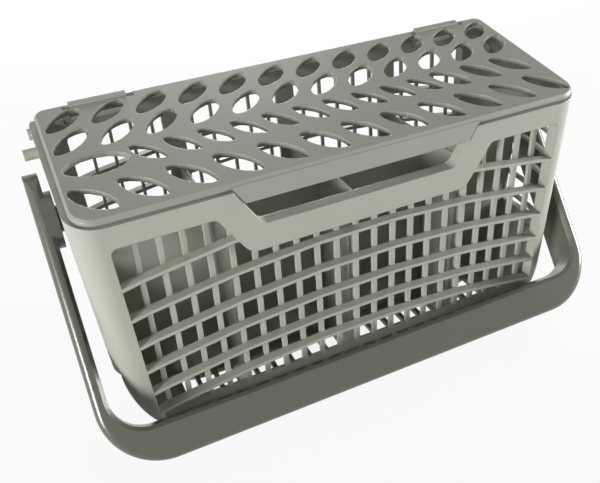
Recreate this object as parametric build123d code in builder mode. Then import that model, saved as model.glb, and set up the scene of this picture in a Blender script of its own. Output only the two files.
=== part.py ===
"""Dishwasher cutlery basket: a moulded tub with arched lattice walls, a sloped lid with leaf
shaped openings hinged at the rear, and a carrying handle that swings on two side studs.
Millimetres, +Z up, origin at the centre of the base, +X to the right, +Y to the rear."""
import os
from math import cos, pi, radians, sin, tan

from build123d import *

# Tub
base_width = 232.6
base_depth = 78.5
draft = 1.4
end_draft = 2.6
front_corner = 14.0
rear_corner = 9.0
end_curve = 46.0
edge_curve = 13.0
floor_thickness = 2.6
side_wall = 4.0
rim_gap = 1.3

# Lattice walls: ledges form the outer layer, upright bars the inner layer
ledge_depth = 4.4
ledge_thickness = 1.7
bar_depth = 1.8
bar_width = 2.4
columns = 22
pillar_top = 7.8
pillar_bottom = 11.9
lattice_bottom = 18.0
lattice_corner = 3.0
arch_radius = 560.0
bend_bars = 4

# Front wall
front_band = 13.9
front_first_row = 8.5
front_ledge_pitch = 16.4
front_ledges = 6
pitch_ratio = 0.935
notch_depth = 21.9
notch_shift = 1.8
notch_floor_half = 47.5
notch_flare = 32.3
notch_corner = 4.0
notch_band = 12.4
band_corner = 8.0

# Rear wall
rear_band = 13.9
rear_first_row = 12.5
rear_ledge_pitch = 17.0
rear_ledges = 7
rear_bar_width = 1.4

# Side walls
side_pillar = 10.5
side_band = 18.0
side_stud_band = 16.5
side_foot = 4.0
side_columns = 2
side_front_columns = 1
side_bends = 6
side_ledges = 5
side_arch_radius = 110.0
side_ledge_depth = 2.4

# Dividers
divider_thickness = 1.6
divider_top = 104.0
divider_bars = 6
dividers_across = 3

# Lid
lid_front_height = 126.9
lid_slope = 12.0
lid_rear_inset = 2.9
lid_side_inset = 2.5
lid_thickness = 2.6
lid_front_corner = 10.5
rest_x = 95.0
rest_length = 8.0
rest_gap = 0.2
lid_edge_bevel = 1.1
lid_rear_corner = 5.0
tab_drop = 10.0
tab_thickness = 1.8
tab_side_gap = 0.8

# Lid openings
leaf_margin = 1.0
leaf_columns = 12
leaf_steps = 8
leaf_fullness = 1.25
rear_leaf_length = 22.0
rear_leaf_width = 10.6
rear_leaf_angle = 43.0
rear_leaf_inset = 12.7
second_leaf_inset = 29.6
front_leaf_length = 23.6
front_leaf_width = 10.2
front_leaf_angle = -45.0
front_leaf_inset = 13.2
third_leaf_inset = 34.6
small_leaf_x = -13.5
small_leaf_pitch = 15.0
small_leaves = 10
small_leaf_length = 18.6
small_leaf_width = 8.0
right_leaf_inset = 33.5
right_leaf_pitch = 17.6
right_leaves = 3
wide_leaf_inset = 17.2
wide_leaf_length = 28.5
wide_leaf_width = 15.0

# Lid hinge
hinge_setback = 1.2
hinge_drop = 3.2
knuckle_radius = 2.9
knuckle_inner = 78.0
knuckle_length = 26.0
ear_thickness = 3.0
ear_gap = 0.2
ear_clear = 0.6
hinge_pin = 1.5
hinge_pin_length = 5.0
pin_clearance = 0.08
rear_relief = 7.6
hinge_upstand = 0.5
pad_depth = 3.2
pad_height = 0.9

# Carrying handle
pivot_y = 12.75
pivot_height = 103.4
handle_droop = 53.3
hub_gap = 1.2
arm_thickness = 6.5
arm_depth = 20.0
grip_gap = 6.9
bar_height = 17.0
bar_back = 0.5
tail_length = 22.0
grip_outer_corner = 29.0
grip_inner_corner = 16.0
grip_outer_round = 4.0
grip_inner_bevel = 1.6
hub_radius = 13.0
hub_height = 3.0
stud_radius = 6.0
stud_length = 4.3
stud_end_gap = 0.4

# Side lugs
stop_radius = 2.5
stop_bearing = 3.0
stop_gap = 0.3
stop_drop = 10.9
lug_radius = 2.6
lug_rise = 1.4
lug_shift_y = 8.8
lug_shift_z = 5.5

# Floor openings
floor_slot_margin = 4.0
floor_slot_height = 12.0

os.makedirs("parts", exist_ok=True)

lean = tan(radians(draft))
end_lean = tan(radians(end_draft))
slope = tan(radians(lid_slope))
front_wall = ledge_depth + bar_depth
tall = lid_front_height + base_depth
embed = 1.0

# Wall planes, leaning outwards with the draft
front_plane = Plane(
    origin=(0, -base_depth / 2, 0), x_dir=(1, 0, 0), z_dir=(0, -cos(radians(draft)), -sin(radians(draft)))
)
rear_plane = Plane(
    origin=(0, base_depth / 2, 0), x_dir=(-1, 0, 0), z_dir=(0, cos(radians(draft)), -sin(radians(draft)))
)
right_plane = Plane(
    origin=(base_width / 2, 0, 0),
    x_dir=(0, 1, 0),
    z_dir=(cos(radians(end_draft)), 0, -sin(radians(end_draft)))
)
left_plane = Plane(
    origin=(-base_width / 2, 0, 0),
    x_dir=(0, -1, 0),
    z_dir=(-cos(radians(end_draft)), 0, -sin(radians(end_draft)))
)

# Lid plane: origin at the middle of the lid's front top edge
lid_half = base_width / 2 + end_lean * lid_front_height - lid_side_inset
rim_y = base_depth / 2 + lean * lid_front_height
lid_front_y = -rim_y
lid_depth = (rim_y - lid_rear_inset - lid_front_y) / cos(radians(lid_slope))
lid_rear_height = lid_front_height + lid_depth * sin(radians(lid_slope))
lid_plane = Plane(
    origin=(0, lid_front_y, lid_front_height),
    x_dir=(1, 0, 0),
    z_dir=(0, -sin(radians(lid_slope)), cos(radians(lid_slope))),
)
rim_step = lid_thickness + rim_gap
hinge_v = lid_depth - hinge_setback
hinge_w = -hinge_drop
lid_side_plane = Plane(
    origin=lid_plane.origin,
    x_dir=(0, cos(radians(lid_slope)), sin(radians(lid_slope))),
    z_dir=(1, 0, 0),
)

# Where the hinge ears and their stub pins start along X
ear_reach = ear_gap + ear_thickness
knuckle_outer = knuckle_inner + knuckle_length
ear_starts = [knuckle_inner - ear_reach, knuckle_outer + ear_gap]
ear_starts = ear_starts + [-start - ear_thickness for start in ear_starts]
pin_starts = [knuckle_inner - ear_reach / 2, knuckle_outer + ear_reach / 2 - hinge_pin_length]
pin_starts = pin_starts + [-start - hinge_pin_length for start in pin_starts]

# Carrying handle beside the end walls and in front of the tub
arm_inner = base_width / 2 + end_lean * pivot_height + hub_gap + hub_height
arm_outer = arm_inner + arm_thickness
handle_reach = bar_height + (pivot_y + base_depth / 2 + grip_gap) / cos(radians(handle_droop))

# Side lugs stand in the end walls; the stop meets the arm when the handle is upright
stop_y = pivot_y + arm_depth / 2 + stop_gap + stop_radius
stop_height = lid_front_height + slope * (stop_y - lid_front_y) - stop_drop
lug_height = stop_height + lug_shift_z
lug_root = base_width / 2
stop_reach = arm_inner + stop_bearing
lug_reach = lug_root + end_lean * lug_height + lug_rise

# Lattice windows in the walls
lattice_top_half = base_width / 2 - pillar_top
lattice_bottom_half = base_width / 2 - pillar_bottom
bar_pitch = 2 * lattice_top_half / columns
front_lattice_top = lid_front_height - front_band
front_ledge_top = front_lattice_top - front_first_row
rear_lattice_top = lid_rear_height - rear_band
rear_ledge_top = rear_lattice_top - rear_first_row
side_lattice_half = base_depth / 2 - side_pillar
side_lattice_top = lid_front_height - side_band
side_rear_top = pivot_height - side_stud_band
side_lattice_bottom = end_curve + side_foot

# Front notch outline, on the front wall
notch_floor = lid_front_height - notch_depth
notch_top = lid_front_height + rim_step
flare = tan(radians(notch_flare))
notch_top_half = notch_floor_half + flare * (notch_top - notch_floor)
band_shift = notch_band / cos(radians(notch_flare)) - notch_band * flare
band_floor = notch_floor - notch_band
band_floor_half = notch_floor_half + band_shift
band_top_half = band_floor_half + flare * (notch_top - band_floor)


def tab_half(drop):
    """Half width of the lid's tab at a drop below the lid's front edge."""
    return notch_floor_half + flare * (lid_front_height - drop - notch_floor) - tab_side_gap


def ledge_heights(top, pitch, count):
    """Heights of the ledges from the top down, each step a little smaller."""
    heights = []
    height = top
    step = pitch
    for _ in range(count):
        heights.append(height)
        height = height - step
        step = step * pitch_ratio
    return heights


def arched_ledges(heights, radius, step, steps):
    """Takes arched ledges out of the sketch being drawn, each bent at every step along it."""
    places = [step * (i - steps / 2) for i in range(-1, steps + 2)]
    drops = [radius - (radius**2 - place**2) ** 0.5 for place in places]
    for height in heights:
        upper = [(place, height - drop) for place, drop in zip(places, drops)]
        lower = [(place, level - ledge_thickness) for place, level in reversed(upper)]
        Polygon(*upper, *lower, align=None, mode=Mode.SUBTRACT)


# Front wall sketches
with BuildSketch(front_plane) as front_window:
    Polygon(
        (-lattice_bottom_half, lattice_bottom),
        (lattice_bottom_half, lattice_bottom),
        (lattice_top_half, front_lattice_top),
        (-lattice_top_half, front_lattice_top),
        align=None,
    )
    with Locations((notch_shift, 0)):
        Polygon(
            (-band_floor_half, band_floor),
            (band_floor_half, band_floor),
            (band_top_half, notch_top),
            (-band_top_half, notch_top),
            align=None,
            mode=Mode.SUBTRACT,
        )
    fillet(front_window.vertices().group_by(Axis.Y)[1], band_corner)
    fillet(front_window.vertices().group_by(Axis.Y)[0], lattice_corner)
    fillet(front_window.vertices().group_by(Axis.Y)[-1], lattice_corner)
with BuildSketch(front_plane) as front_rows:
    add(front_window.sketch_local)
    arched_ledges(
        ledge_heights(front_ledge_top, front_ledge_pitch, front_ledges),
        arch_radius,
        bend_bars * bar_pitch,
        columns // bend_bars,
    )
with BuildSketch(front_plane.offset(-ledge_depth)) as front_slots:
    add(front_window.sketch_local)
    with Locations((0, front_lattice_top / 2)):
        with GridLocations(bar_pitch, 1, columns - 1, 1):
            Rectangle(bar_width, tall, mode=Mode.SUBTRACT)

# Rear wall sketches, with plain strips behind the dividers
with BuildSketch(rear_plane) as rear_window:
    Polygon(
        (-lattice_bottom_half, lattice_bottom),
        (lattice_bottom_half, lattice_bottom),
        (lattice_top_half, rear_lattice_top),
        (-lattice_top_half, rear_lattice_top),
        align=None,
    )
    fillet(rear_window.vertices(), lattice_corner)
with BuildSketch(rear_plane) as rear_rows:
    add(rear_window.sketch_local)
    arched_ledges(
        ledge_heights(rear_ledge_top, rear_ledge_pitch, rear_ledges),
        arch_radius,
        bend_bars * bar_pitch,
        columns // bend_bars,
    )
with BuildSketch(rear_plane.offset(-ledge_depth)) as rear_slots:
    add(rear_window.sketch_local)
    with Locations((0, rear_lattice_top / 2)):
        with GridLocations(bar_pitch, 1, columns - 1, 1):
            Rectangle(rear_bar_width, tall, mode=Mode.SUBTRACT)
        with GridLocations(bar_pitch * divider_bars, 1, dividers_across, 1):
            Rectangle(bar_pitch, tall, mode=Mode.SUBTRACT)

# Side wall sketches for the right end, lower at the rear where the handle stud stands
side_height = side_lattice_top - side_lattice_bottom
side_bar_pitch = 2 * side_lattice_half / side_columns
side_step_x = side_bar_pitch * (side_front_columns - side_columns / 2)
with BuildSketch() as side_window:
    Polygon(
        (-side_lattice_half, side_lattice_bottom),
        (side_lattice_half, side_lattice_bottom),
        (side_lattice_half, side_rear_top),
        (side_step_x, side_rear_top),
        (side_step_x, side_lattice_top),
        (-side_lattice_half, side_lattice_top),
        align=None,
    )
    fillet(side_window.vertices(), lattice_corner)
with BuildSketch() as side_rows:
    add(side_window.sketch)
    side_pitch = side_height / side_ledges
    arched_ledges(
        [side_lattice_top - side_pitch * (i + 0.5) for i in range(side_ledges)],
        side_arch_radius,
        2 * side_lattice_half / side_bends,
        side_bends,
    )
with BuildSketch() as side_slots:
    add(side_window.sketch)
    with Locations((0, side_lattice_top / 2)):
        with GridLocations(side_bar_pitch, 1, side_columns - 1, 1):
            Rectangle(bar_width, tall, mode=Mode.SUBTRACT)


def tub_form(inset_x, inset_y, rise):
    """The tub's drafted outer form, moved in by the insets and up by the rise."""
    half_x = base_width / 2 - inset_x
    half_y = base_depth / 2 - inset_y
    corner_front = max(front_corner - min(inset_x, inset_y), embed)
    corner_rear = max(rear_corner - min(inset_x, inset_y), embed)
    curve_end = end_curve - max(inset_x, rise)
    curve_edge = max(edge_curve - max(inset_y, rise), embed)
    end_x = half_x + end_lean * rise
    end_z = rise + curve_end
    top_x = half_x + end_lean * tall + embed
    with BuildPart() as form:
        for plane, half, tilt, mode in (
            (Plane.XZ, half_x, end_lean, Mode.ADD),
            (Plane.YZ, half_y, lean, Mode.INTERSECT),
        ):
            top_half = half + tilt * tall
            with BuildSketch(plane):
                Polygon((-half, 0), (half, 0), (top_half, tall), (-top_half, tall), align=None)
            extrude(amount=base_width, both=True, mode=mode)
        uprights = form.edges().group_by(Axis.Z)[1].group_by(Axis.Y)
        fillet(uprights[0], corner_front)
        fillet(uprights[-1], corner_rear)
        with BuildSketch(Plane.XZ):
            with BuildLine():
                bottom = Line((-half_x + curve_end, rise), (half_x - curve_end, rise))
                right = TangentArc(bottom @ 1, (end_x, end_z), tangent=bottom % 1)
                left = TangentArc(bottom @ 0, (-end_x, end_z), tangent=bottom % 0 * -1)
                Polyline(right @ 1, (top_x, end_z), (top_x, tall), (-top_x, tall), (-top_x, end_z), left @ 1)
            make_face()
        extrude(amount=2 * tall, both=True, mode=Mode.INTERSECT)
        with BuildSketch(Plane.YZ) as flanks:
            with Locations((0, rise)):
                Rectangle(2 * half_y + 2 * lean * rise, tall, align=(Align.CENTER, Align.MIN))
            fillet(flanks.vertices().group_by(Axis.Y)[0], curve_edge)
            with Locations((0, rise + curve_edge)):
                Rectangle(2 * half_y + 2 * lean * tall, tall, align=(Align.CENTER, Align.MIN))
        extrude(amount=2 * tall, both=True, mode=Mode.INTERSECT)
    return form.part


outer_form = tub_form(0, 0, 0)
inner_form = tub_form(side_wall, front_wall, floor_thickness)

# Dividers: one along the tub and three across it, standing on the bars of the walls
with BuildPart() as dividers:
    with BuildSketch():
        Rectangle(base_width, divider_thickness)
        with GridLocations(bar_pitch * divider_bars, 1, dividers_across, 1):
            Rectangle(divider_thickness, base_depth + 2 * front_wall)
    extrude(amount=divider_top)
    add(tub_form(side_wall - embed, front_wall - embed, floor_thickness - embed), mode=Mode.INTERSECT)

# Outline of the lid, seen square on
with BuildSketch() as lid_outline:
    with Locations((0, lid_depth / 2)):
        Rectangle(2 * lid_half, lid_depth)
    fillet(lid_outline.vertices().group_by(Axis.Y)[0], lid_front_corner)
    fillet(lid_outline.vertices().group_by(Axis.Y)[-1], lid_rear_corner)

# Tub
with BuildPart() as basket_body:
    add(outer_form)
    add(inner_form, mode=Mode.SUBTRACT)
    # Sloped rim
    with BuildSketch(lid_plane.offset(-rim_step)):
        Rectangle(2 * tall, 4 * tall)
    extrude(amount=tall, mode=Mode.SUBTRACT)
    # Rests that carry the lid above the front rim
    with BuildSketch(lid_plane.offset(-rim_step - embed)):
        with Locations((0, front_wall / 2)):
            with GridLocations(2 * rest_x, 1, 2, 1):
                Rectangle(rest_length, bar_depth)
    extrude(amount=embed + rim_gap - rest_gap)
    # Rear rim lowered for the swing of the lid, and more where the hinges are
    with BuildSketch(lid_plane.offset(-rear_relief)):
        with Locations((0, hinge_v - hinge_upstand)):
            Rectangle(2 * tall, tall, align=(Align.CENTER, Align.MIN))
        with Locations((0, hinge_v - knuckle_radius - ear_clear)):
            with GridLocations(2 * knuckle_inner + knuckle_length, 1, 2, 1):
                Rectangle(knuckle_length + 2 * (ear_reach + ear_gap), tall, align=(Align.CENTER, Align.MIN))
    extrude(amount=tall, mode=Mode.SUBTRACT)
    # Front notch
    with BuildSketch(front_plane.offset(embed)) as notch:
        with Locations((notch_shift, 0)):
            Polygon(
                (-notch_floor_half, notch_floor),
                (notch_floor_half, notch_floor),
                (notch_top_half, notch_top),
                (-notch_top_half, notch_top),
                align=None,
            )
        fillet(notch.vertices().group_by(Axis.Y)[0], notch_corner)
    extrude(amount=-(front_wall + 2 * embed), mode=Mode.SUBTRACT)
    # Lattices
    extrude(front_rows.sketch, amount=-ledge_depth, mode=Mode.SUBTRACT)
    extrude(front_slots.sketch, amount=-(bar_depth + embed), mode=Mode.SUBTRACT)
    extrude(rear_rows.sketch, amount=-ledge_depth, mode=Mode.SUBTRACT)
    extrude(rear_slots.sketch, amount=-(bar_depth + embed), mode=Mode.SUBTRACT)
    for plane, rows, slots in (
        (right_plane, side_rows.sketch, side_slots.sketch),
        (left_plane, mirror(side_rows.sketch, Plane.YZ), mirror(side_slots.sketch, Plane.YZ)),
    ):
        with BuildSketch(plane):
            add(rows)
        extrude(amount=-side_ledge_depth, mode=Mode.SUBTRACT)
        with BuildSketch(plane.offset(-side_ledge_depth)):
            add(slots)
        extrude(amount=-(side_wall - side_ledge_depth + embed), mode=Mode.SUBTRACT)
    # Dividers and drain slots in the floor
    add(dividers.part)
    slot_reach = base_depth / 2 - edge_curve - embed
    slot_length = slot_reach - floor_slot_margin
    slot_end = base_width / 2 - end_curve
    slot_end = slot_end + (end_curve**2 - (end_curve + floor_thickness - floor_slot_height) ** 2) ** 0.5
    slot_columns = int(slot_end / bar_pitch)
    with BuildSketch():
        with GridLocations(bar_pitch, slot_reach + floor_slot_margin, 2 * slot_columns, 2):
            Rectangle(bar_pitch - bar_width, slot_length)
    extrude(amount=floor_slot_height, mode=Mode.SUBTRACT)
    # Hinge ears with stub pins
    for start in ear_starts:
        with BuildSketch(lid_side_plane.offset(start)):
            with Locations((hinge_v, hinge_w)):
                Circle(knuckle_radius)
                Rectangle(2 * knuckle_radius, rear_relief, align=(Align.CENTER, Align.MAX))
        extrude(amount=ear_thickness)
    for start in pin_starts:
        with BuildSketch(lid_side_plane.offset(start)):
            with Locations((hinge_v, hinge_w)):
                Circle(hinge_pin)
        extrude(amount=hinge_pin_length)
    # Handle studs, handle stops and small lugs on both ends
    for side in (1, -1):
        for place, radius, reach in (
            ((pivot_y, pivot_height), stud_radius, arm_inner + stud_length),
            ((stop_y, stop_height), stop_radius, stop_reach),
            ((stop_y + lug_shift_y, lug_height), lug_radius, lug_reach),
        ):
            with BuildSketch(Plane.YZ.offset(side * lug_root)):
                with Locations(place):
                    Circle(radius)
            extrude(amount=side * (reach - lug_root))

basket_body.part.label = "basket_body"

# Lid
leaf_pitch = 2 * (lid_half - leaf_margin) / leaf_columns


def leaf(length, width):
    """One leaf lying along X, between an ellipse and a pointed oval in fullness."""
    turns = [pi * i / leaf_steps for i in range(leaf_steps + 1)]
    upper = [(-length / 2 * cos(turn), width / 2 * sin(turn) ** leaf_fullness) for turn in turns]
    lower = [(place, -level) for place, level in reversed(upper[1:-1])]
    with BuildSketch() as shape:
        Polygon(*upper, *lower, align=None)
    return shape.sketch


rear_leaf = leaf(rear_leaf_length, rear_leaf_width)
front_leaf = leaf(front_leaf_length, front_leaf_width)
small_leaf = leaf(small_leaf_length, small_leaf_width)
wide_leaf = leaf(wide_leaf_length, wide_leaf_width)
lid_normal = Axis(lid_plane.origin, lid_plane.z_dir)
with BuildPart() as lid:
    with BuildSketch(lid_plane):
        add(lid_outline.sketch)
    extrude(amount=-lid_thickness)
    chamfer(lid.faces().sort_by(lid_normal)[-1].edges(), lid_edge_bevel)
    # Tab that closes the top of the front notch
    tab_plane = Plane(origin=(0, lid_front_y, lid_front_height), x_dir=(1, 0, 0), z_dir=(0, -1, 0))
    with BuildSketch(tab_plane):
        with Locations((notch_shift, 0)):
            Polygon(
                (-tab_half(tab_drop), -tab_drop),
                (tab_half(tab_drop), -tab_drop),
                (tab_half(lid_thickness / 2), -lid_thickness / 2),
                (-tab_half(lid_thickness / 2), -lid_thickness / 2),
                align=None,
            )
    extrude(amount=-tab_thickness)
    # Leaf openings in four rows
    with BuildSketch(lid_plane):
        for row, angle, shape in (
            (lid_depth - rear_leaf_inset, rear_leaf_angle, rear_leaf),
            (lid_depth - second_leaf_inset, rear_leaf_angle, rear_leaf),
            (front_leaf_inset, front_leaf_angle, front_leaf),
        ):
            with Locations((0, row)):
                with GridLocations(leaf_pitch, 1, leaf_columns, 1):
                    add(shape, rotation=angle)
        with Locations((wide_leaf_inset - lid_half, third_leaf_inset)):
            add(wide_leaf)
        for middle, pitch, count, shape in (
            (small_leaf_x, small_leaf_pitch, small_leaves, small_leaf),
            (lid_half - right_leaf_inset, right_leaf_pitch, right_leaves, rear_leaf),
        ):
            with Locations((middle, third_leaf_inset)):
                with GridLocations(pitch, 1, count, 1):
                    add(shape, rotation=front_leaf_angle)
    extrude(amount=-lid_thickness, mode=Mode.SUBTRACT)
    # Clearance round the hinge ears
    with BuildSketch(lid_plane.offset(knuckle_radius)):
        for start in ear_starts:
            with Locations((start + ear_thickness / 2, hinge_v - knuckle_radius - ear_clear)):
                Rectangle(ear_thickness + 2 * ear_gap, tall, align=(Align.CENTER, Align.MIN))
    extrude(amount=-4 * knuckle_radius, mode=Mode.SUBTRACT)
    # Hinge knuckles under raised pads
    for start in (knuckle_inner, -knuckle_inner - knuckle_length):
        with BuildSketch(lid_side_plane.offset(start)):
            with Locations((hinge_v, hinge_w)):
                Circle(knuckle_radius)
            with Locations((lid_depth, pad_height)):
                Rectangle(pad_depth, pad_height + lid_thickness, align=(Align.MAX, Align.MAX))
        extrude(amount=knuckle_length)
    for start in (knuckle_inner, -knuckle_inner - knuckle_length):
        with BuildSketch(lid_side_plane.offset(start)):
            with Locations((hinge_v, hinge_w)):
                Circle(hinge_pin + pin_clearance)
        extrude(amount=knuckle_length, mode=Mode.SUBTRACT)
lid.part.label = "lid"

# Carrying handle, drawn in the plane of its two arms with the pivot as origin
handle_plane = Plane(
    origin=(0, pivot_y, pivot_height),
    x_dir=(1, 0, 0),
    z_dir=(0, -sin(radians(handle_droop)), cos(radians(handle_droop))),
)
handle_normal = Axis(handle_plane.origin, handle_plane.z_dir)
handle_length = Axis(handle_plane.origin, handle_plane.y_dir)
arm_plane = Plane(origin=handle_plane.origin, x_dir=handle_plane.y_dir, z_dir=handle_plane.x_dir)
with BuildPart() as carrying_handle:
    with BuildSketch(handle_plane) as grip:
        with Locations((0, -handle_reach)):
            Rectangle(2 * arm_outer, handle_reach + tail_length, align=(Align.CENTER, Align.MIN))
        fillet(grip.vertices().group_by(Axis.Y)[0], grip_outer_corner)
    extrude(amount=arm_depth / 2, both=True)
    outer_edges = carrying_handle.faces().sort_by(handle_normal)[-1].edges().sort_by(handle_length)
    fillet(outer_edges[:-1], grip_outer_round)
    # Opening between the arms, with its front edge bevelled
    with BuildSketch(handle_plane.offset(-arm_depth)) as opening:
        with Locations((0, bar_height - handle_reach)):
            Rectangle(2 * arm_inner, tall, align=(Align.CENTER, Align.MIN))
        fillet(opening.vertices().group_by(Axis.Y)[0], grip_inner_corner)
    extrude(amount=2 * arm_depth, mode=Mode.SUBTRACT)
    front_edges = carrying_handle.edges(Select.LAST).group_by(handle_normal)[-1]
    tail_edges = front_edges.filter_by(Axis.X).group_by(handle_length)[-1]
    chamfer(front_edges - tail_edges, grip_inner_bevel)
    # Shallow grip bar between the arms
    with BuildSketch(handle_plane.offset(-bar_back)):
        with Locations((0, -handle_reach)):
            Rectangle(2 * arm_inner, tail_length + handle_reach, align=(Align.CENTER, Align.MIN))
    extrude(amount=-arm_depth, mode=Mode.SUBTRACT)
    # Round tail ends
    with BuildSketch(arm_plane):
        with Locations((tail_length - arm_depth / 2, 0)):
            Rectangle(arm_depth, 2 * arm_depth, align=(Align.MIN, Align.CENTER))
            Circle(arm_depth / 2, mode=Mode.SUBTRACT)
    extrude(amount=2 * arm_outer, both=True, mode=Mode.SUBTRACT)
    # Pivot hubs with blind bores
    for side in (1, -1):
        with BuildSketch(Plane.YZ.offset(side * (arm_inner - hub_height))):
            with Locations((pivot_y, pivot_height)):
                Circle(hub_radius)
        extrude(amount=side * (hub_height + arm_thickness / 2))
        with BuildSketch(Plane.YZ.offset(side * (arm_inner - hub_height))):
            with Locations((pivot_y, pivot_height)):
                Circle(stud_radius + pin_clearance)
        extrude(amount=side * (hub_height + stud_length + stud_end_gap), mode=Mode.SUBTRACT)
carrying_handle.part.label = "carrying_handle"

export_step(basket_body.part, "parts/basket_body.step")
export_step(lid.part, "parts/lid.step")
export_step(carrying_handle.part, "parts/carrying_handle.step")
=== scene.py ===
"""Looks of a dishwasher cutlery basket: moulded grey plastic for the tub, the lid and the
carrying handle, and a white table under soft light, seen from the front left."""
import math

import bpy
import bmesh
from bpy.props import FloatProperty, FloatVectorProperty, PointerProperty
from mathutils import Matrix, Vector

bl_info = {
    "name": "Cutlery basket looks",
    "version": (1, 0, 0),
    "blender": (4, 5, 0),
    "location": "View3D > Sidebar > Basket",
    "description": "Dresses the cutlery basket in moulded plastic and sets its table, lights and camera",
    "category": "Object",
}

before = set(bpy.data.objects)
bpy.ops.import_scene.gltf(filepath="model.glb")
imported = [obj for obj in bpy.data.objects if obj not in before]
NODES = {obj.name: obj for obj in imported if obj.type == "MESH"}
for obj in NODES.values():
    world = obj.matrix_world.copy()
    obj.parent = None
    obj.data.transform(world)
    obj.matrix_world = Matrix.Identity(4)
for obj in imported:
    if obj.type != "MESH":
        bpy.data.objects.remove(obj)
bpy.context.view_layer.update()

# Picture and lens
IMAGE_WIDTH = 600
SENSOR = 36.0

# Plastic: cloudiness and fine grain, and how far they change the colour and the gloss
CLOUD = {"Scale": 38.0, "Detail": 3.0, "Roughness": 0.55}
SPECKLE = {"Scale": 900.0, "Detail": 2.0, "Roughness": 0.6}
CLOUD_SHARE = 0.8
DARKEST = 0.94
LIGHTEST = 1.05
GLOSS_SPREAD = 0.12
NOISE_MIDDLE = 0.5
GRAIN_DEPTH = 0.0004
PLASTIC_IOR = 1.49
EDGE_SAMPLES = 6

# Stage: each lamp has its place and size in metres, and its power is a property of the same name
TABLE_REACH = 3.0
WHITE = (1.0, 1.0, 1.0, 1.0)
SEEN_RAYS = ("Is Camera Ray", "Is Glossy Ray", "Is Transmission Ray")
LAMPS = (
    ("left_lamp", (-1.3, -0.56, 0.26), 0.4),
    ("right_lamp", (1.32, -0.36, 0.16), 0.4),
    ("rear_lamp", (0.35, 1.3, 0.45), 0.6),
    ("top_lamp", (0.15, 0.1, 1.3), 1.1),
)

# Sockets of the Mix node that take and give colours
MIX_LOW = 6
MIX_HIGH = 7
MIX_RESULT = 2


class Wire:
    """A shader socket or number that can be added, multiplied and fed into any other node."""

    def __init__(self, tree, value=0.0):
        self.tree = tree
        self.value = value

    def wrap(self, value):
        """Makes a plain number or colour part of the same tree."""
        return value if isinstance(value, Wire) else Wire(self.tree, value)

    def feed(self, socket):
        """Puts this value into a socket, by a link or as a number."""
        if isinstance(self.value, bpy.types.NodeSocket):
            self.tree.links.new(self.value, socket)
        else:
            socket.default_value = self.value

    def node(self, kind, sockets=None, output=0, **settings):
        """Adds a node of any kind with its settings and sockets, and returns one of its outputs."""
        made = self.tree.nodes.new(kind)
        for name, value in settings.items():
            setattr(made, name, value)
        for name, value in (sockets or {}).items():
            self.wrap(value).feed(made.inputs[name])
        return Wire(self.tree, made.outputs[output]) if made.outputs else None

    def maths(self, operation, first, second):
        return self.node("ShaderNodeMath", {0: first, 1: second}, operation=operation)

    def __add__(self, other):
        return self.maths("ADD", self, other)

    def __radd__(self, other):
        return self.maths("ADD", other, self)

    def __sub__(self, other):
        return self.maths("SUBTRACT", self, other)

    def __rsub__(self, other):
        return self.maths("SUBTRACT", other, self)

    def __mul__(self, other):
        return self.maths("MULTIPLY", self, other)

    def __rmul__(self, other):
        return self.maths("MULTIPLY", other, self)

    def mix(self, low, high):
        """Blends two colours by this value."""
        sockets = {"Factor": self, MIX_LOW: low, MIX_HIGH: high}
        return self.node("ShaderNodeMix", sockets, MIX_RESULT, data_type="RGBA")


def empty_tree(owner):
    """Clears the nodes of a material or a world and returns the start of its wiring."""
    owner.use_nodes = True
    owner.node_tree.nodes.clear()
    return Wire(owner.node_tree)


def opaque(colour, share=1.0):
    """A colour with its alpha, made darker or lighter by a share."""
    return [channel * share for channel in colour] + [1.0]


def moulded_plastic(name, colour, roughness, grain, edge_softness):
    """Injection moulded plastic: even colour with faint cloudiness, fine grain and softened edges."""
    material = bpy.data.materials.new(name)
    wire = empty_tree(material)
    place = wire.node("ShaderNodeTexCoord", output="Object")
    cloud = wire.node("ShaderNodeTexNoise", {"Vector": place, **CLOUD})
    speckle = wire.node("ShaderNodeTexNoise", {"Vector": place, **SPECKLE})
    shade = cloud * CLOUD_SHARE + speckle * (1.0 - CLOUD_SHARE)
    soft = wire.node("ShaderNodeBevel", {"Radius": edge_softness}, samples=EDGE_SAMPLES)
    relief = wire.node(
        "ShaderNodeBump", {"Strength": grain, "Distance": GRAIN_DEPTH, "Height": speckle, "Normal": soft}
    )
    surface = wire.node(
        "ShaderNodeBsdfPrincipled",
        {
            "Base Color": shade.mix(opaque(colour, DARKEST), opaque(colour, LIGHTEST)),
            "Roughness": roughness + (cloud - NOISE_MIDDLE) * GLOSS_SPREAD,
            "IOR": PLASTIC_IOR,
            "Normal": relief,
        },
    )
    wire.node("ShaderNodeOutputMaterial", {"Surface": surface})
    return material


def dress(node, material):
    """Gives a CAD piece one material all over."""
    for slot in NODES[node].material_slots:
        slot.material = material


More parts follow.
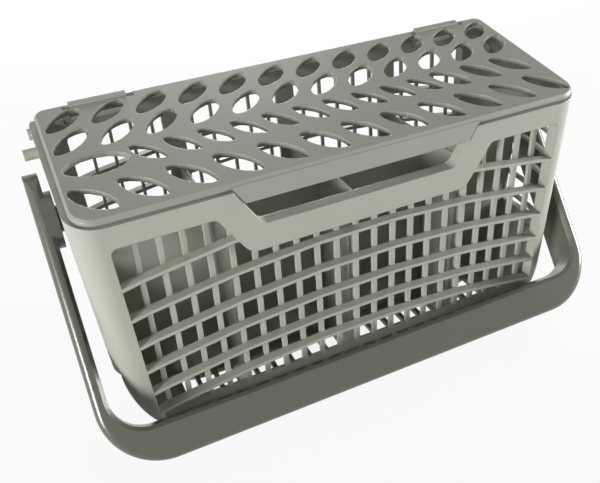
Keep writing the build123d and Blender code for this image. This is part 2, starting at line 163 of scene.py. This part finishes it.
class BasketFinish(bpy.types.PropertyGroup):
    """Colours and finish of the plastic pieces."""

    tub_colour: FloatVectorProperty(
        name="Tub colour", description="Plastic of the tub", subtype="COLOR", default=(0.38, 0.386, 0.328)
    )
    lid_colour: FloatVectorProperty(
        name="Lid colour", description="Plastic of the lid", subtype="COLOR", default=(0.30, 0.306, 0.258)
    )
    handle_colour: FloatVectorProperty(
        name="Handle colour",
        description="Plastic of the handle",
        subtype="COLOR",
        default=(0.096, 0.101, 0.077),
    )
    tub_roughness: FloatProperty(
        name="Tub roughness", description="Satin of the tub", default=0.34, min=0.05, max=1.0
    )
    lid_roughness: FloatProperty(
        name="Lid roughness", description="Satin of the lid", default=0.42, min=0.05, max=1.0
    )
    handle_roughness: FloatProperty(
        name="Handle roughness", description="Gloss of the handle", default=0.24, min=0.05, max=1.0
    )
    grain: FloatProperty(
        name="Grain", description="Strength of the fine moulded grain", default=0.06, min=0.0, max=1.0
    )
    handle_grain: FloatProperty(
        name="Handle grain", description="Strength of its finer grain", default=0.03, min=0.0, max=1.0
    )
    edge_softness: FloatProperty(
        name="Edge softness", description="Radius that edges look rounded by", default=0.0005, unit="LENGTH"
    )


class BasketStage(bpy.types.PropertyGroup):
    """Camera, table and light around the basket."""

    azimuth: FloatProperty(
        name="Azimuth",
        description="Camera's turn round the basket",
        default=math.radians(-22.3),
        unit="ROTATION",
    )
    elevation: FloatProperty(
        name="Elevation", description="Camera's height angle", default=math.radians(32.52), unit="ROTATION"
    )
    roll: FloatProperty(
        name="Roll", description="Camera's lean to one side", default=math.radians(-4.68), unit="ROTATION"
    )
    distance: FloatProperty(
        name="Distance", description="From the camera to the basket", default=0.3539, unit="LENGTH"
    )
    aim: FloatVectorProperty(
        name="Aim", description="Middle of the picture", default=(-0.0134, -0.00085, 0.0629), unit="LENGTH"
    )
    focal_pixels: FloatProperty(
        name="Focal length", description="Lens in pixels of the picture's width", default=696.3
    )
    table_colour: FloatVectorProperty(
        name="Table colour", description="White table top", subtype="COLOR", default=(0.88, 0.88, 0.87)
    )
    bounce_colour: FloatVectorProperty(
        name="Bounce", description="Light thrown up by the table", subtype="COLOR", default=(0.4, 0.4, 0.395)
    )
    whiteness: FloatProperty(
        name="Whiteness", description="Share of plain white in the table as the camera sees it", default=0.88
    )
    left_lamp: FloatProperty(name="Left lamp", description="Lamp at the left", default=24.0, unit="POWER")
    right_lamp: FloatProperty(name="Right lamp", description="Lamp at the right", default=34.0, unit="POWER")
    rear_lamp: FloatProperty(name="Rear lamp", description="Lamp behind", default=16.0, unit="POWER")
    top_lamp: FloatProperty(name="Top lamp", description="Large lamp above", default=2.0, unit="POWER")
    room: FloatProperty(name="Room light", description="Even light of the white room", default=0.06)


class BASKET_OT_tub(bpy.types.Operator):
    """Dress the tub in grey satin plastic"""

    bl_idname = "basket.tub"
    bl_label = "Tub"

    def execute(self, context):
        look = context.scene.basket_finish
        plastic = moulded_plastic(
            "tub_plastic", look.tub_colour, look.tub_roughness, look.grain, look.edge_softness
        )
        dress("basket_body", plastic)
        return {"FINISHED"}


class BASKET_OT_lid(bpy.types.Operator):
    """Dress the lid in grey satin plastic"""

    bl_idname = "basket.lid"
    bl_label = "Lid"

    def execute(self, context):
        look = context.scene.basket_finish
        plastic = moulded_plastic(
            "lid_plastic", look.lid_colour, look.lid_roughness, look.grain, look.edge_softness
        )
        dress("lid", plastic)
        return {"FINISHED"}


class BASKET_OT_handle(bpy.types.Operator):
    """Dress the carrying handle in darker, glossier plastic"""

    bl_idname = "basket.handle"
    bl_label = "Carrying handle"

    def execute(self, context):
        look = context.scene.basket_finish
        plastic = moulded_plastic(
            "handle_plastic", look.handle_colour, look.handle_roughness, look.handle_grain, look.edge_softness
        )
        dress("carrying_handle", plastic)
        return {"FINISHED"}


def seen_directly(wire):
    """One for what the camera, a reflection or a view through something sees, zero for other light."""
    camera, glossy, passed = [wire.node("ShaderNodeLightPath", output=ray) for ray in SEEN_RAYS]
    return camera + glossy + passed


class BASKET_OT_stage(bpy.types.Operator):
    """Set the white table, the lamps, the room and the camera"""

    bl_idname = "basket.stage"
    bl_label = "Stage"

    def execute(self, context):
        scene = context.scene
        look = scene.basket_stage
        aim = Vector(look.aim)
        self.add_table(scene, look)
        self.add_room(scene, look)
        for name, place, size in LAMPS:
            self.add_lamp(scene, name, Vector(place), aim, size, getattr(look, name))
        self.add_camera(scene, look, aim)
        scene.view_settings.view_transform = "Standard"
        return {"FINISHED"}

    def add_table(self, scene, look):
        """A flat table top that is white to the camera and keeps the basket's shadow."""
        mesh = bpy.data.meshes.new("table")
        form = bmesh.new()
        bmesh.ops.create_grid(form, x_segments=1, y_segments=1, size=TABLE_REACH)
        form.to_mesh(mesh)
        form.free()
        table = bpy.data.objects.new("table", mesh)
        scene.collection.objects.link(table)
        material = bpy.data.materials.new("white_table")
        wire = empty_tree(material)
        seen = seen_directly(wire)
        tone = seen.mix(opaque(look.bounce_colour), opaque(look.table_colour))
        shading = wire.node("ShaderNodeBsdfDiffuse", {"Color": tone})
        white = wire.node("ShaderNodeEmission", {"Color": WHITE, "Strength": 1.0})
        surface = wire.node("ShaderNodeMixShader", {0: seen * look.whiteness, 1: shading, 2: white})
        wire.node("ShaderNodeOutputMaterial", {"Surface": surface})
        mesh.materials.append(material)

    def add_room(self, scene, look):
        """A white room that lights the basket only a little."""
        world = bpy.data.worlds.new("white_room")
        wire = empty_tree(world)
        strength = look.room + seen_directly(wire) * (1.0 - look.room)
        light = wire.node("ShaderNodeBackground", {"Color": WHITE, "Strength": strength})
        wire.node("ShaderNodeOutputWorld", {"Surface": light})
        scene.world = world

    def add_lamp(self, scene, name, place, aim, size, power):
        """A square soft lamp that shines at a point."""
        lamp = bpy.data.lights.new(name, "AREA")
        lamp.shape = "SQUARE"
        lamp.size = size
        lamp.energy = power
        holder = bpy.data.objects.new(name, lamp)
        holder.location = place
        holder.rotation_euler = (aim - place).to_track_quat("-Z", "Y").to_euler()
        scene.collection.objects.link(holder)

    def add_camera(self, scene, look, aim):
        """The camera at the photograph's angle and distance."""
        lens = bpy.data.cameras.new("camera")
        lens.sensor_width = SENSOR
        lens.lens = SENSOR * look.focal_pixels / IMAGE_WIDTH
        holder = bpy.data.objects.new("camera", lens)
        level = math.cos(look.elevation)
        back = Vector(
            (level * math.sin(look.azimuth), -level * math.cos(look.azimuth), math.sin(look.elevation))
        )
        holder.location = aim + back * look.distance
        turn = back.to_track_quat("Z", "Y").to_matrix() @ Matrix.Rotation(look.roll, 3, "Z")
        holder.rotation_euler = turn.to_euler()
        scene.collection.objects.link(holder)
        scene.camera = holder


class BASKET_PT_panel(bpy.types.Panel):
    """Basket pieces and stage"""

    bl_idname = "BASKET_PT_panel"
    bl_label = "Cutlery basket"
    bl_space_type = "VIEW_3D"
    bl_region_type = "UI"
    bl_category = "Basket"

    def draw(self, context):
        for step in STEPS:
            self.layout.operator(step.bl_idname)


STEPS = (BASKET_OT_tub, BASKET_OT_lid, BASKET_OT_handle, BASKET_OT_stage)
CLASSES = (BasketFinish, BasketStage) + STEPS + (BASKET_PT_panel,)


def register():
    for item in CLASSES:
        bpy.utils.register_class(item)
    bpy.types.Scene.basket_finish = PointerProperty(type=BasketFinish)
    bpy.types.Scene.basket_stage = PointerProperty(type=BasketStage)


def unregister():
    del bpy.types.Scene.basket_stage
    del bpy.types.Scene.basket_finish
    for item in reversed(CLASSES):
        bpy.utils.unregister_class(item)


def main():
    register()
    bpy.ops.basket.tub()
    bpy.ops.basket.lid()
    bpy.ops.basket.handle()
    bpy.ops.basket.stage()


if __name__ == "__main__":
    main()
